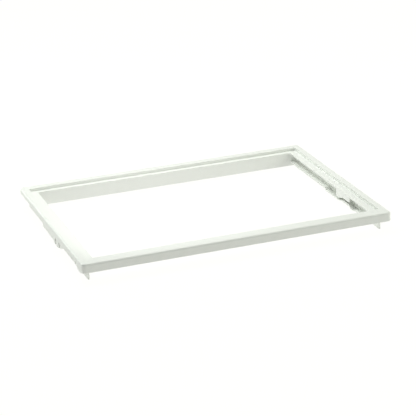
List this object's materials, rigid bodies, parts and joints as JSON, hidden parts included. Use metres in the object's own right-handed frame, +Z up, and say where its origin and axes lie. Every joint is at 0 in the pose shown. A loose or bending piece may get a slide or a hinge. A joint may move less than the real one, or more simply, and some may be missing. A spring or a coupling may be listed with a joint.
{
  "type": "refrigerator drawer cover frame",
  "caption": "Rectangular moulded cover frame for a wide fridge drawer, open in the middle, with a stepped ledge for glass and a drawer rail under each side.",
  "frame": {"origin": "middle of the footprint, on the plane that the lower edges of the side webs stand on", "axes": "+X to the right, +Y to the back, +Z up, seen from the drawer's front"},
  "size_m": [0.56, 0.422, 0.0355],
  "materials": {
    "white_plastic": "smooth white moulded plastic with a soft sheen"
  },
  "bodies": {
    "root": {"cover_frame": "white_plastic"}
  },
  "joints": []
}
